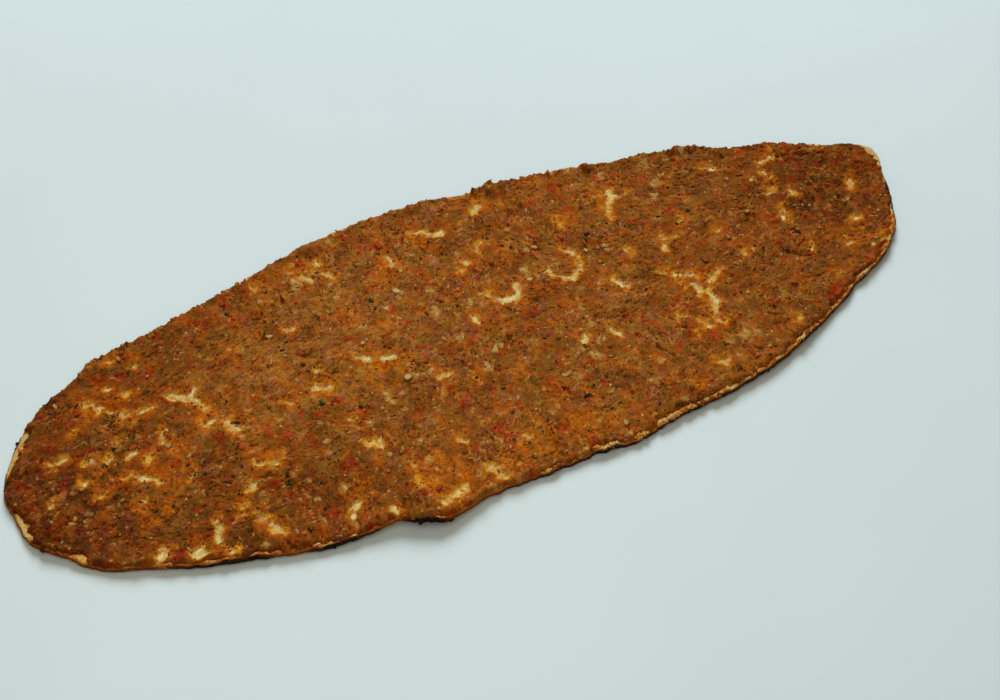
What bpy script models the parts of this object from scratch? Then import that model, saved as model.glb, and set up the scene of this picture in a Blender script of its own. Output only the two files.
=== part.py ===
"""A long oval lahmacun: a thin baked flatbread under a spread of minced meat.

The long axis lies along X and the part rests on z = 0. Every length is in metres and every angle in degrees.
"""

from math import atan2, cos, degrees, exp, hypot, pi, sin, sqrt

import bmesh
import bpy

# Plan of the bread: an oval that the baker's hands have pushed in and out.
HALF_LENGTH = 0.233
HALF_WIDTH = 0.088
# Each push is (angle round the oval, share of the local radius, half spread of the angle).
EDGE_PUSHES = (
    (7, 0.009, 6),
    (11, 0.007, 5),
    (12, 0.104, 13),
    (13.4, -0.100, 19.7),
    (20, -0.017, 3.9),
    (39, -0.037, 5),
    (63, -0.092, 25),
    (84, -0.035, 2.6),
    (103, 0.028, 8.7),
    (121, -0.041, 19),
    (138, 0.038, 3.7),
    (150, 0.020, 10),
    (-176, -0.007, 5),
    (-165, 0.011, 5.8),
    (-148, 0.029, 7.8),
    (-134, 0.019, 5.4),
    (-119, 0.030, 8.7),
    (-111.6, -0.028, 1.6),
    (-105, 0.077, 3.2),
    (-82, 0.027, 3),
    (-65, 0.048, 10),
    (-41, -0.016, 2.7),
    (-16, -0.013, 5.7),
    (180, 0.014, 200),
)

# Section of the bread.
PAN_THICKNESS = 0.0025
RIM_THICKNESS = 0.0036
RIM_WIDTH = 0.0075
EDGE_ROUNDING = 0.0020

# Section of the meat spread, which stops a little inside the rim.
SPREAD_GAP = 0.00035
SPREAD_THICKNESS = 0.0022
SPREAD_EDGE_THICKNESS = 0.0009
SPREAD_FEATHER = 0.0060
SPREAD_MARGIN = 0.0038
# Each change of margin is (angle round the oval, extra margin, half spread of the angle).
MARGIN_CHANGES = (
    (5, 0.0018, 14),
    (40, -0.0012, 16),
    (100, -0.0014, 30),
    (172, 0.0024, 12),
    (-150, -0.0010, 12),
    (-112, 0.0016, 8),
    (-60, 0.0012, 20),
)
# The meat is a little thicker in soft heaps: (x, y, extra thickness, radius).
SPREAD_HEAPS = (
    (-0.150, -0.010, 0.0005, 0.045),
    (-0.040, 0.022, 0.0007, 0.050),
    (0.060, -0.020, 0.0006, 0.055),
    (0.140, 0.018, 0.0004, 0.040),
)

# Stretches of the edge that curled up in the oven: (angle round the oval, height, half spread of the angle).
EDGE_CURLS = (
    (10, 0.0030, 16),
    (84, 0.0022, 14),
    (140, 0.0018, 16),
    (-158, 0.0006, 11),
    (-129, 0.0008, 11),
    (-108, 0.0046, 7),
    (-60, 0.0020, 14),
    (-24, 0.0018, 12),
)
CURL_REACH = 0.036

# Mesh rings, as insets: the first lie between the bread's edge and the meat's edge, and the next ones go on
# inwards from the meat's edge. The last few go evenly to the middle.
RIM_INSETS = (0, 0.0004, 0.0014)
MEAT_INSETS = (0, 0.0026, 0.0070, 0.0160)
INNER_RINGS = 3
SEGMENTS = 144
EVEN_SPACING = 0.22

BREAD_COLOUR = (0.62, 0.40, 0.15, 1)
MEAT_COLOUR = (0.23, 0.076, 0.013, 1)


def smooth_step(value):
    """0 below 0, 1 above 1, and a soft S between."""
    share = min(max(value, 0), 1)
    return share * share * (3 - 2 * share)


def bell_sum(angle, bells):
    """The sum of round bells at this angle, from (centre, height, half spread) in degrees."""
    total = 0
    for centre, height, spread in bells:
        away = (degrees(angle) - centre + 180) % 360 - 180
        total += height * exp(-((away / spread) ** 2))
    return total


def oval_angle(turn):
    """Crowds the segments towards the two ends, so that they are about equally long all round."""
    return turn + EVEN_SPACING * sin(2 * turn)


def raw_outline(angle):
    swell = 1 + bell_sum(angle, EDGE_PUSHES)
    return HALF_LENGTH * swell * cos(angle), HALF_WIDTH * swell * sin(angle)


def outline_centre():
    """The middle of the outline's box, which becomes the part's origin."""
    points = [raw_outline(oval_angle(2 * pi * i / SEGMENTS)) for i in range(SEGMENTS)]
    xs, ys = [p[0] for p in points], [p[1] for p in points]
    return (min(xs) + max(xs)) / 2, (min(ys) + max(ys)) / 2


CENTRE_X, CENTRE_Y = outline_centre()


def half_depth(angle):
    """How far the edge lies from the middle, measured square to the edge."""
    return HALF_LENGTH * HALF_WIDTH / hypot(HALF_LENGTH * sin(angle), HALF_WIDTH * cos(angle))


def plan_point(angle, inset):
    """The point this far inside the edge, on the line from the middle to the outline."""
    reach = 1 - inset / half_depth(angle)
    x, y = raw_outline(angle)
    return reach * x - CENTRE_X, reach * y - CENTRE_Y


def spread_margin(angle):
    return SPREAD_MARGIN + bell_sum(angle, MARGIN_CHANGES)


def ring_insets(angle):
    """Insets of all the rings from the bread's edge to the middle. The meat shares those from its own edge on."""
    margin = spread_margin(angle)
    insets = list(RIM_INSETS) + [margin + step for step in MEAT_INSETS]
    start = insets[-1]
    for ring in range(1, INNER_RINGS + 1):
        insets.append(start + (half_depth(angle) - start) * ring / INNER_RINGS)
    return insets


def curl_height(angle, inset):
    """How far the edge's curl lifts the bread here."""
    return bell_sum(angle, EDGE_CURLS) * smooth_step(1 - inset / CURL_REACH)


def bread_height(angle, inset, top):
    """Height of the bread's upper or lower face: a flat pan with a thicker, rounded rim."""
    thickness = PAN_THICKNESS + (RIM_THICKNESS - PAN_THICKNESS) * smooth_step(1 - inset / RIM_WIDTH)
    outside = 1 - min(inset / EDGE_ROUNDING, 1)
    half = thickness / 2 * sqrt(1 - outside * outside)
    return curl_height(angle, inset) + thickness / 2 + (half if top else -half)


def spread_thickness(x, y, inside):
    """Thickness of the meat this far inside its own edge."""
    full = SPREAD_THICKNESS
    for heap_x, heap_y, extra, radius in SPREAD_HEAPS:
        full += extra * exp(-((hypot(x - heap_x, y - heap_y) / radius) ** 2))
    return SPREAD_EDGE_THICKNESS + (full - SPREAD_EDGE_THICKNESS) * smooth_step(inside / SPREAD_FEATHER)


def place_bread(angle, ring, side):
    inset = ring_insets(angle)[ring]
    x, y = plan_point(angle, inset)
    return x, y, bread_height(angle, inset, side > 0)


def place_spread(angle, ring, side):
    insets = ring_insets(angle)
    margin = insets[len(RIM_INSETS)]
    inset = insets[len(RIM_INSETS) + ring]
    x, y = plan_point(angle, inset)
    share = 0.5 if ring == 0 else float(side > 0)
    under = bread_height(angle, inset, True) + SPREAD_GAP
    return x, y, under + share * spread_thickness(x, y, inset - margin)


def pressed_ball(name, rings, place, material):
    """A ball pressed flat: each ring of a sphere goes to the place that the food's own section gives it."""
    ball = bmesh.new()
    bmesh.ops.create_uvsphere(ball, u_segments=SEGMENTS, v_segments=2 * rings, radius=1)
    for vertex in ball.verts:
        x, y, z = vertex.co
        latitude = atan2(z, hypot(x, y))
        ring = round(abs(latitude) / (pi / 2) * rings)
        vertex.co = place(oval_angle(atan2(y, x)), ring, latitude)
    mesh = bpy.data.meshes.new(name)
    ball.to_mesh(mesh)
    ball.free()
    mesh.shade_smooth()
    mesh.materials.append(material)
    return bpy.data.objects.new(name, mesh)


def make_material(name, colour, roughness):
    material = bpy.data.materials.new(name)
    material.use_nodes = True
    shader = material.node_tree.nodes["Principled BSDF"]
    shader.inputs["Base Color"].default_value = colour
    shader.inputs["Roughness"].default_value = roughness
    shader.inputs["Metallic"].default_value = 0
    return material


def main():
    for old in list(bpy.data.objects):
        bpy.data.objects.remove(old)
    lahmacun = bpy.data.collections.new("lahmacun")
    bpy.context.scene.collection.children.link(lahmacun)
    crust = make_material("baked_dough", BREAD_COLOUR, 0.8)
    meat = make_material("minced_meat", MEAT_COLOUR, 0.6)
    spread_rings = len(MEAT_INSETS) - 1 + INNER_RINGS
    bread = pressed_ball("flatbread", len(RIM_INSETS) + spread_rings, place_bread, crust)
    spread = pressed_ball("meat_spread", spread_rings, place_spread, meat)
    for piece in (bread, spread):
        lahmacun.objects.link(piece)


main()
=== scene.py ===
"""Looks of a long oval lahmacun: a blistered flatbread under a spread of minced meat with herbs.

The bread and the spread are pressed out again from the CAD solids at a finer grain. Bits of meat, onion,
pepper, parsley and charred dough are then scattered over them. Lengths are in metres unless a name or a
comment says millimetres. Angles round the oval are in degrees, as the CAD source counts them. Every random
draw is seeded.
"""

from itertools import combinations, product
from math import cos, pi, radians, sin

import bpy
import numpy as np
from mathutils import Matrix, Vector
from mathutils.bvhtree import BVHTree


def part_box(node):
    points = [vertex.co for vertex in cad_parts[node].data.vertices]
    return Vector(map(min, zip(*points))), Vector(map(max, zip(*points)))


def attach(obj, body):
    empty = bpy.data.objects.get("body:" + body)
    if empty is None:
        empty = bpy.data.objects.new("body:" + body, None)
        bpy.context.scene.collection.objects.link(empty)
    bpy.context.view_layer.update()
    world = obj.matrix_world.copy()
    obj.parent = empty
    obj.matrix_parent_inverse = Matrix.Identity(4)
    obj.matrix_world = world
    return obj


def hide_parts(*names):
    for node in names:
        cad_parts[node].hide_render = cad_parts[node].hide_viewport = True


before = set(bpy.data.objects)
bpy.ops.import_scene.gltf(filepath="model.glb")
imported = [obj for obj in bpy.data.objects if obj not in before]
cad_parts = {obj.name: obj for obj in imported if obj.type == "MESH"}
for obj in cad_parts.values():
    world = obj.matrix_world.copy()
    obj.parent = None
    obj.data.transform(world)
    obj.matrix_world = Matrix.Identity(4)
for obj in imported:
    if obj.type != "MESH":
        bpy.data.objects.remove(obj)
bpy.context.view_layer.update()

MM = 0.001

# Meshes: columns and rows of the grid on top, how they crowd to the edge, and insets of the rings below in
# millimetres.
BREAD_MESH = (430, 166, 0.45, (0.25, 0.7, 1.4, 2.4, 4, 6.5, 10, 15, 22, 32, 46, 64, 85))
MEAT_MESH = (506, 190, 0.1, (2, 30))
# Points of a ball are neighbours if they are no further apart than this.
NEIGHBOURS = 1.1
# Waves and cells repeat after so many steps. FAR is further than any distance that is looked for.
WAVE_TABLE = 256
CELL_TABLE = 512
FAR = 9.0

# Numbers of scattered bits.
GRAINS = 4300
EDGE_GRAINS = 1000
CRUMBS = 9600
HERB_GROUPS = 190
ZONE_GROUPS = 60
HERB_FLAKES = 820
RIM_LUMPS = 700
SMALL_SCALES = 50
SMALL_STREAKS = 50
# Numbers of longer and shorter chips, and their radii.
ONION_CHIPS = (42, 100)
PEPPER_CHIPS = (60, 180)
CHIP_LENGTHS = (1.7 * MM, 0.8 * MM)

# Seeds of the random draws, by what is drawn.
SEEDS = {
    "small_streaks": 5, "mince_grains": 101, "onion_bits": 102, "pepper_bits": 103, "parsley_flakes": 104,
    "charred_scales": 105, "mince_crumbs": 106, "rim_blisters": 107,
}

# Camera and light. The lens and the sensor are in millimetres, and the window lies straight ahead.
LENS = 50
SENSOR = 36
CAMERA_PLACE = (-0.1774, -0.3737, 0.533)
CAMERA_HEADING = 26
CAMERA_PITCH = 53
WINDOW_PLACE = (1.58 * sin(radians(CAMERA_HEADING)), 1.58 * cos(radians(CAMERA_HEADING)), 1.53)
# Lamps: (name, width, power, place, colour).
LAMPS = (
    ("overhead", 0.40, 0.57, (-0.14, -0.21, 0.45), (1, 1, 1)),
    ("window", 1.20, 47, WINDOW_PLACE, (0.90, 1.0, 1.10)),
)
ROOM_COLOUR = (1.35, 1.0, 0.65, 1)
ROOM_STRENGTH = 0.20
FLOOR_SIZE = 6

# Stops of ramps: (position, red, green, blue), as colours look on a screen, from 0 to 255.
MEAT_BROWNS = (
    (0.10, 82, 40, 8), (0.30, 113, 64, 15), (0.48, 139, 83, 23), (0.62, 158, 101, 34), (0.78, 180, 123, 51),
    (0.95, 204, 158, 84),
)
MEAT_PINKS = (
    (0.10, 92, 38, 20), (0.30, 120, 60, 32), (0.48, 142, 78, 44), (0.62, 160, 97, 58), (0.78, 184, 124, 80),
    (0.95, 210, 160, 112),
)
MEAT_RUSTS = (
    (0.10, 100, 36, 4), (0.30, 138, 60, 8), (0.48, 160, 78, 12), (0.62, 181, 92, 17), (0.78, 200, 112, 30),
    (0.95, 218, 150, 64),
)
MEAT_OLIVES = (
    (0.10, 76, 50, 12), (0.30, 106, 72, 22), (0.48, 130, 91, 32), (0.62, 148, 108, 44),
    (0.78, 168, 130, 62), (0.95, 194, 164, 100),
)
MEAT_ORANGES = ((0.10, 138, 56, 1), (0.32, 170, 80, 3), (0.54, 193, 106, 10), (0.80, 214, 150, 36))
MEAT_BRICKS = ((0.10, 104, 16, 3), (0.34, 146, 38, 8), (0.56, 168, 60, 22), (0.84, 190, 98, 52))
MEAT_ONIONS = ((0.30, 160, 102, 34), (0.55, 170, 122, 54), (0.75, 184, 146, 76), (0.95, 208, 184, 118))
# Light flecks on the mince: partly specks of fat, partly painted highlights on the grains.
FLECK_AND_HIGHLIGHT_COLOURS = ((0.2, 178, 116, 60), (0.6, 194, 146, 78), (0.9, 212, 174, 108))
BARE_COLOURS = ((0.32, 200, 158, 78), (0.50, 218, 194, 120), (0.66, 234, 222, 166))
OILY_DOUGH = ((0.0, 92, 38, 6), (0.4, 150, 72, 10), (0.7, 186, 104, 20), (1.0, 204, 142, 56))
GOLDEN_DOUGH = (
    (0.10, 84, 34, 10), (0.28, 150, 72, 14), (0.44, 194, 112, 30), (0.60, 208, 154, 72),
    (0.90, 205, 184, 118),
)
BROWNED_DOUGH = ((0.15, 52, 24, 14), (0.5, 98, 46, 22), (0.85, 150, 86, 42))
UNDERSIDE = ((0.40, 222, 200, 152), (0.58, 204, 168, 110), (0.67, 158, 100, 50), (0.78, 82, 46, 26))
ONION_COLOURS = ((0.1, 152, 106, 50), (0.5, 168, 128, 68), (1.0, 198, 172, 110))
PEPPER_COLOURS = ((0.1, 112, 26, 6), (0.6, 156, 48, 14), (1.0, 184, 78, 26))
PARSLEY_COLOURS = ((0.1, 28, 32, 20), (0.6, 54, 54, 24), (1.0, 90, 82, 32))

# Bread.
PAN_THICKNESS = 2.5 * MM
RIM_THICKNESS = 3.0 * MM
RIM_WIDTH = 7 * MM
RIM_ROUNDING = 1.7 * MM
RIM_BUBBLE_SIZE = 2.7
# Waves of the torn edge: (height, size, seed), in millimetres.
RAGGED_WAVES = ((0.9, 19, 11), (0.7, 7, 12), (0.55, 3.2, 13), (0.3, 1.7, 14))
# Stretches of the edge, as (angle round the oval, strength, half spread of the angle).
RAGGED_STRETCHES = (
    (-85, 0.6, 26), (-110, 0.5, 6), (75, 0.5, 30), (110, 0.5, 12), (-37, 0.4, 12), (-135, 0.3, 20),
)
BLISTERED_STRETCHES = (
    (-106.5, 1.0, 1.3), (-92, 0.8, 0.9), (-86, 1.0, 1.3), (-81, 0.9, 1.0), (-76, 0.9, 2.4), (-70, 0.8, 2.8),
    (-37, 0.7, 2), (-29, 0.6, 2.6), (-21, 0.5, 3), (6, 0.4, 7), (22, 0.4, 4), (61, 0.5, 2),
    (84.5, 1.3, 1.3), (101, 0.4, 3), (118, 0.4, 3), (140, 0.2, 9), (158, 0.4, 3), (167, 0.3, 5),
    (-168, 0.3, 5), (-155.5, 0.5, 2.2), (-140.5, 0.9, 1.5), (-135.5, 0.8, 1.2), (-130, 0.5, 3),
    (-121, 0.6, 2.6), (-117, 0.4, 1.5), (-52, 0.45, 26),
)
# Stretches where the rim is smooth bare dough: (angle round the oval, millimetres, half spread).
BARE_RIMS = (
    (9, 2.4, 6), (-5, 1.8, 4), (-14, 1.0, 4), (-21, 1.0, 6), (-36, 0.8, 4), (84.5, 1.2, 2), (103, 0.5, 4),
    (158, 1.6, 2.5), (163.5, 2.4, 3.4), (-173.5, 2.8, 4.4), (-157, 1.3, 2.6), (-126, 0.5, 12),
    (-66, 0.5, 30),
)
# Along the front right, from about -100 to -5 degrees, the char is partly real and partly painted shadow: it
# darkens the rim's lower side there.
CHARRED_STRETCHES = (
    (-16, 1.2, 10), (-4, 1.0, 4), (30, 0.9, 12), (160, 0.7, 2.5), (170, 0.8, 5), (-137, 0.6, 3),
    (-130, 1.2, 4), (-119, 1.0, 3), (-115, 0.8, 1.5), (-108, 1.1, 3), (-88, 0.9, 12), (-56, 1.0, 24),
    (95, 0.6, 20),
)
# Where the char reaches over the top of the rim: (angle round the oval, millimetres, half spread).
# The wide stretch at -60 degrees lets the char reach higher along the front right, partly as painted shadow.
SCORCHED_TOPS = (
    (-6, 2.4, 4), (-14, 1.0, 6), (32, 1.2, 12), (89, 1.0, 3), (160, 1.2, 2), (170, 0.7, 4),
    (-130, 1.0, 3.5), (-119, 0.9, 3), (-108, 1.2, 3), (-60, 0.3, 40),
)

# Meat spread: its inset from the bread's edge, and its relief, whose patterns are in millimetres.
MEAT_MARGIN = 0.45 * MM
BLISTER_MARGIN = 1.8 * MM
MEAT_THICKNESS = 2.1 * MM
MINCE_CHUNK = 6.5
MINCE_GRAIN = 2.5

# Places where the dough shows through: half width, then points along the streak, all in millimetres.
BARE_STREAKS = (
    (2.0, (7, 17), (13, 11), (20, 11), (23, 18)), (1.3, (55, 27), (58, 20), (55, 12), (49, 9)),
    (1.0, (39, 21), (42, 16), (45, 11)), (1.0, (91, -7), (97, -12), (105, -16)),
    (1.4, (116, -19), (110, -22), (105, -27)),
    (1.7, (101, -20), (105, -28), (105, -34), (102, -42), (101, -46)), (1.4, (67, 0), (71, -8)),
    (1.9, (-152, 29), (-147, 23), (-144, 22), (-140, 14)), (1.3, (-141, 27), (-144, 21)),
    (1.6, (-190, 40), (-184, 34)), (1.3, (-179, 30), (-175, 26), (-169, 26), (-162, 25)),
    (2.2, (-133, 2), (-131, -4)), (1.6, (-143, 5), (-139, 6)), (1.6, (-128, -24), (-122, -29)),
    (2.2, (-182, -53), (-178, -49)), (2.1, (-168, -58), (-163, -57)),
    (1.7, (-137, -51), (-134, -58), (-131, -63)), (1.6, (-101, -69), (-96, -65)),
    (1.3, (-83, -74), (-83, -78)), (1.8, (-62, -81), (-55, -81)), (1.2, (-154, -44), (-157, -57)),
    (1.3, (-142, -43), (-143, -48)), (1.0, (-138, -37), (-133, -34)), (2.0, (-35, -74), (-32, -79)),
    (1.4, (-65, 10), (-60, 4)), (1.7, (-54, 4), (-49, 4)), (1.5, (94, 54), (88, 45), (86, 38)),
    (1.1, (89, 52), (100, 47)), (1.1, (60, 47), (60, 43)), (1.3, (19, 51), (14, 46)),
    (1.9, (24, 70), (28, 73)), (1.3, (-11, 72), (-4, 67), (3, 64)), (1.6, (-28, 62), (-28, 56)),
    (1.5, (4, 43), (7, 41)), (1.1, (-61, 73), (-61, 68)), (1.5, (-71, 69), (-68, 65)),
    (1.0, (-65, 69), (-57, 62)), (1.3, (51, -26), (53, -31)), (1.3, (-5, 9), (-4, 4)),
    (1.2, (38, -23), (37, -28)), (1.6, (88, -67), (91, -69)), (1.2, (104, 14), (100, 5)),
    (1.1, (169, 4), (168, -1), (165, -3)), (1.1, (173, 29), (174, 24)), (1.4, (147, 46), (150, 43)),
    (1.4, (176, 36), (182, 37)), (1.3, (209, 30), (211, 33)), (0.9, (197, -38), (207, -39)),
    (2.0, (-89, 1), (-84, 0)), (1.0, (-91, 41), (-88, 40)), (1.0, (-82, -21), (-79, -22)),
    (1.1, (-35, -17), (-31, -17)), (1.3, (-80, -36), (-77, -37)), (1.5, (192, -56), (195, -56)),
    (1.1, (211, 5), (208, -1)), (1.0, (199, -19), (196, -20)), (1.0, (187, -33), (184, -33)),
    (0.9, (171, 15), (167, 15)), (1.3, (-172, -1), (-169, 1)), (1.1, (-189, 4), (-187, 7)),
    (0.9, (-212, 15), (-204, 15)), (0.8, (-199, 8), (-195, 8)), (1.1, (-197, -11), (-194, -10)),
    (1.1, (-178, -9), (-172, -12), (-171, -15)), (1.0, (-183, 13), (-182, 15)), (1.0, (-163, 4), (-162, 9)),
    (0.9, (-184, -7), (-181, -6)), (0.9, (-217, -5), (-215, -4)),
)
# The meat's highest heaps, along its far edge: (x, y, radius, height) in millimetres.
HEAPS = (
    (23.5, 84, 3.5, 2.6), (29.5, 82.5, 4.5, 3.0), (37, 81, 5, 2.2), (46, 79, 6, 1.4), (89.5, 73, 4, 3.0),
    (106, 67, 4, 1.3), (120, 64, 4, 1.5), (141, 61.3, 4.5, 2.6), (-19, 85, 6, 1.2), (-61, 84, 7, 1.3),
    (-114, 72, 6, 1.2), (-160, 56, 6, 1.0),
)

# Zones of the meat, as (x, y, radius) in millimetres.
OILY_ZONES = (
    (-183, 40, 10), (-173, 30, 12), (-141, 5, 9), (-158, -2, 8), (-168, -14, 10), (-174, -30, 10),
    (-122, -27, 9), (-86, 2, 8), (-60, 2, 8), (-49, 0, 8), (-55, -68, 14), (21, 8, 8), (86, 50, 9),
    (99, -14, 9), (111, -22, 9), (97, -51, 7), (-5, -71, 10), (7, -71, 10), (21, -74, 9), (-21, -72, 10),
    (190, -28, 9), (173, -45, 7), (-69, 71, 9), (-30, 58, 8), (-12, 67, 8), (27, 71, 7), (-90, 72, 9),
    (-132, -61, 7), (-164, -56, 9), (-194, -8, 7), (207, -38, 10), (-93, -60, 9),
)
HERB_ZONES = (
    (-45, 36, 9), (24, -29, 12), (62, -43, 16), (30, -57, 9), (-6, -46, 12), (-190, 7, 12), (-147, -20, 11),
    (-140, -38, 12), (-99, -43, 13), (61, -76, 9), (140, -22, 9), (140, -51, 12), (-101, -12, 9),
    (-173, 17, 9), (-163, -40, 14), (192, 10, 14), (122, 32, 12),
)
RED_ZONES = (
    (-175, -54, 3.6), (-227, 8, 3.2), (-92, -44, 4.5), (-139, -4, 3), (54, 63, 2.6), (32, -54, 3),
    (11, -42, 2.6), (27, -48, 2.6), (3, -69, 3.2), (199, -25, 3), (201, 20, 3), (110, -15, 2),
    (226, 5, 2.6), (90, -16, 2.2), (-193, 37, 3.2), (-195, 13, 3.6), (-95, -79, 2.8), (-54, 6, 2.6),
    (114, 52, 3), (184, 18, 3), (-16, -35, 2.6), (22, -29, 2.2), (162, -69, 3),
)
# Broad zones where the meat is painted darker, as painted shade, or lighter, as painted light.
SHADED_ZONES = ((-214, -12, 26), (-140, -58, 30), (-98, -62, 26), (188, 6, 26))
LIT_ZONES = ((-110, 20, 28), (-62, 30, 32))
# Open cracks in the meat, in millimetres.
CRACKS = (
    ((153, -21), (156, -25), (160, -29), (165, -32)), ((66, -47), (68, -51), (71, -56)),
    ((75, -40), (81, -41), (87, -44)), ((35, 13), (39, 5)),
)
# The largest bits of parsley: (x, y, length) in millimetres.
LARGE_LEAVES = (
    (166, -14, 5.4), (20, -18, 3.6), (-174, 13, 4.0), (-182, -22, 3.8), (-166, 48, 3.8), (-85, 59, 4.2),
    (-43, 55, 3.0), (-130, 13, 2.8), (-156, -13, 3.4), (-212, -28, 3.0), (-178, -39, 3.0), (-90, -8, 3.4),
    (-75, -17, 2.6), (-37, -39, 3.2), (-28, -60, 2.6), (113, -10, 3.2), (133, -26, 2.6), (142, -38, 3.2),
    (69, 31, 3.2), (72, 19, 2.6), (16, 43, 4.0), (14, -49, 3.0),
)
# The largest bits of onion: (x, y, length) in millimetres.
LARGE_ONIONS = (
    (-68, 42, 3.6), (-33, 39, 5.0), (-49, -12, 5.2), (-23, 38, 3.0), (-71, 31, 2.6), (-60, 17, 3.0),
    (70, 21, 3.2), (118, 12, 3.2), (150, 8, 3.4), (128, -44, 3.2), (44, -16, 3.4), (-24, 2, 4.0),
    (-110, 30, 3.4), (-203, -4, 3.6),
)
# The largest burnt scales: (angle round the oval, length in millimetres).
LARGE_SCALES = (
    (158.3, 3.6), (157, 2.6), (160, 2.6), (-109.5, 2.6), (-108.5, 3.6), (-107.3, 2.4), (-105, 3.4),
    (-114, 1.6),
)


# Numbers that vary over the plane. The size of a pattern is in millimetres.

def unit(value):
    """The value, held between 0 and 1."""
    return np.clip(value, 0, 1)


def smooth_step(value):
    """0 below 0, 1 above 1, and a soft S between."""
    share = unit(value)
    return share * share * (3 - 2 * share)


def polar(radius, turn):
    """The points this far from the middle in these directions."""
    return radius * np.cos(turn), radius * np.sin(turn)


def waves(x, y, size, seed):
    """Gradient noise: soft bumps and dips about this size, from about -1 to 1."""
    # Each seed has its own heading. The shift moves the corners of the noise's grid off the middle.
    turn = seed * 0.7
    u = (x * cos(turn) - y * sin(turn)) / (size * MM) + 60.3
    v = (x * sin(turn) + y * cos(turn)) / (size * MM) + 60.7
    slopes = np.random.default_rng(seed).uniform(0, 2 * pi, (WAVE_TABLE, WAVE_TABLE))
    i, j = np.floor(u).astype(int), np.floor(v).astype(int)
    fu, fv = u - i, v - j

    def corner(a, b):
        slope = slopes[(i + a) % WAVE_TABLE, (j + b) % WAVE_TABLE]
        return np.cos(slope) * (fu - a) + np.sin(slope) * (fv - b)

    su, sv = smooth_step(fu), smooth_step(fv)
    low = corner(0, 0) * (1 - su) + corner(1, 0) * su
    high = corner(0, 1) * (1 - su) + corner(1, 1) * su
    return 1.5 * (low * (1 - sv) + high * sv)


def mixed_waves(x, y, *parts):
    """The sum of waves, each given as (height, size, seed)."""
    return sum(height * waves(x, y, size, seed) for height, size, seed in parts)


def cells(x, y, size, seed):
    """Irregular cells about this size: (distance to the middle, gap to the next cell, random value)."""
    u, v = x / (size * MM) + 400.5, y / (size * MM) + 400.5
    i, j = np.floor(u).astype(int), np.floor(v).astype(int)
    table = np.random.default_rng(seed).uniform(0, 1, (3, CELL_TABLE, CELL_TABLE))
    nearest, second, value = np.full(u.shape, FAR), np.full(u.shape, FAR), np.zeros(u.shape)
    for a, b in product((-1, 0, 1), repeat=2):
        ci, cj = (i + a) % CELL_TABLE, (j + b) % CELL_TABLE
        away = np.hypot(i + a + table[0, ci, cj] - u, j + b + table[1, ci, cj] - v)
        closer = away < nearest
        second = np.where(closer, nearest, np.minimum(second, away))
        value = np.where(closer, table[2, ci, cj], value)
        nearest = np.where(closer, away, nearest)
    return nearest, second - nearest, value


def patches(x, y, size, seed, share):
    """Depth inside soft ragged patches, in shares of the size. This share of the cells holds one."""
    bent_x = x + 0.35 * size * MM * waves(x, y, 0.7 * size, seed + 1)
    bent_y = y + 0.35 * size * MM * waves(x, y, 0.7 * size, seed + 2)
    away, _, value = cells(bent_x, bent_y, size, seed)
    radius = 0.18 + 0.27 * np.modf(value * 37)[0]
    return np.where(value < share, radius, -1) - away


def share_of_radius(x, y, place_x, place_y, radius):
    """Distance from a place, as a share of this radius. The place and the radius are in millimetres."""
    return np.hypot(x - place_x * MM, y - place_y * MM) / (radius * MM)


def zones(x, y, places):
    """1 in the middle of each round zone, (x, y, radius) in millimetres, falling softly to 0 outside."""
    most = np.zeros(np.shape(x))
    for place in places:
        most = np.maximum(most, smooth_step(1.5 - share_of_radius(x, y, *place)))
    return most


def path_distance(x, y, points):
    """Distance to a line through points given in millimetres."""
    least = np.full(np.shape(x), FAR)
    for start, end in zip(points, points[1:]):
        (ax, ay), (bx, by) = np.array(start) * MM, np.array(end) * MM
        share = unit(((x - ax) * (bx - ax) + (y - ay) * (by - ay)) / ((bx - ax) ** 2 + (by - ay) ** 2))
        least = np.minimum(least, np.hypot(x - ax - share * (bx - ax), y - ay - share * (by - ay)))
    return least


# The bread's plan, read from the CAD solid.

def rim_points(mesh):
    """The points in plan where faces that look up meet faces that look down."""
    sides = {}
    for face in mesh.polygons:
        corners = [tuple(round(value, 6) for value in mesh.vertices[v].co) for v in face.vertices]
        for a, b in zip(corners, corners[1:] + corners[:1]):
            sides.setdefault((min(a, b), max(a, b)), set()).add(face.normal.z > 0)
    return np.array(sorted({point for edge, found in sides.items() if len(found) == 2 for point in edge}))


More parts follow.
